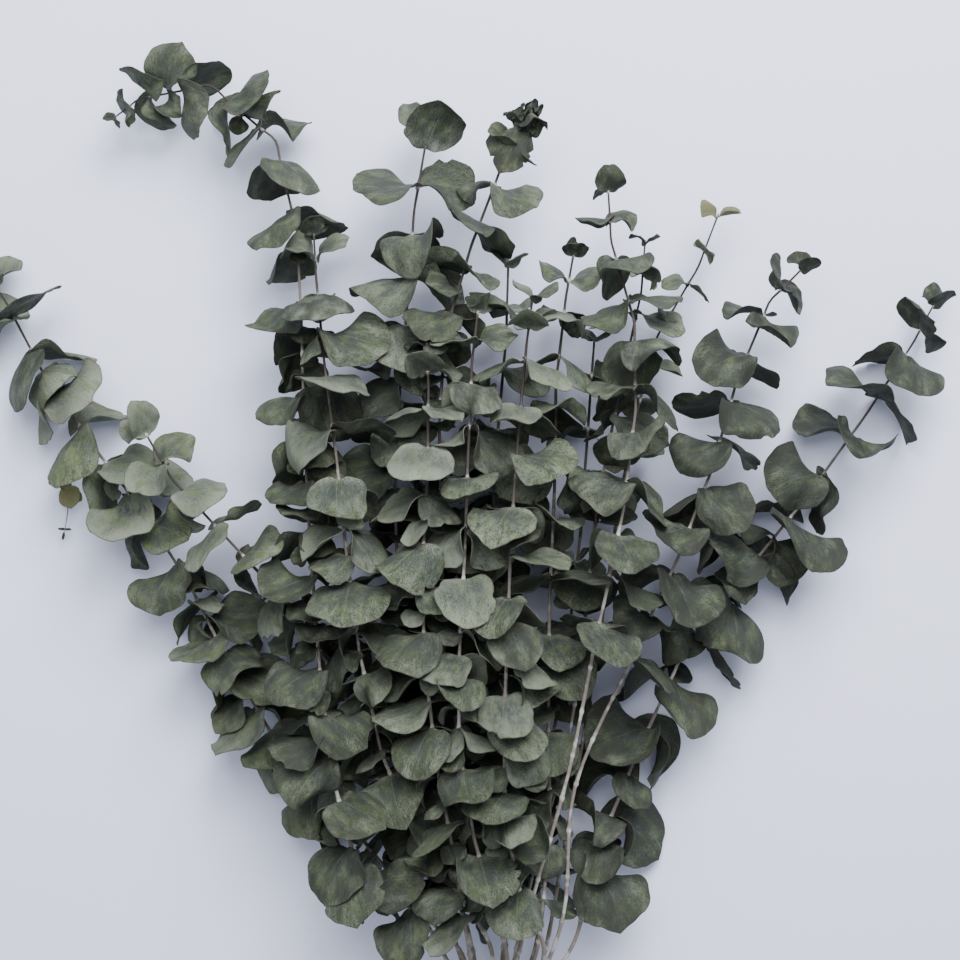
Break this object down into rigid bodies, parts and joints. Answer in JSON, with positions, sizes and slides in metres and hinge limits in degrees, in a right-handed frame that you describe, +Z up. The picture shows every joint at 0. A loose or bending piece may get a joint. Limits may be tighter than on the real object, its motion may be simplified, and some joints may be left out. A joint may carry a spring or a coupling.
{
  "type": "dried eucalyptus bunch",
  "caption": "Tied bunch of dried eucalyptus branches with round, curled grey-green leaves in pairs, fanned out and lying on its side.",
  "frame": {"origin": "on the surface the bunch lies on, on the flat spot right under the tie", "axes": "+Y from the cut ends to the leafy tips, +X to the right of the bunch seen from its front, +Z up from the surface"},
  "size_m": [0.6085, 0.6875, 0.1119],
  "materials": {
    "leaf": "matte, dry leaf with a dusty grey-green bloom",
    "twig": "matte dry bark, tan at the foot and dark brown at the tips",
    "twine": "rough natural twine"
  },
  "bodies": {
    "root": {"stem_front_center": "leaf", "stem_front_right": "leaf", "stem_front_left": "leaf", "stem_broken_top": "leaf", "stem_right_front": "leaf", "stem_arched": "leaf", "stem_right_tall": "leaf", "stem_tall_leaf": "leaf", "stem_dark_tip": "leaf", "stem_center_right": "leaf", "stem_left_inner": "leaf", "stem_right_middle": "leaf", "stem_far_left": "leaf", "stem_far_right": "leaf", "stem_yellow_thin": "leaf", "stem_back_right": "leaf", "stem_back_center": "leaf", "tie": "twine"}
  },
  "joints": []
}
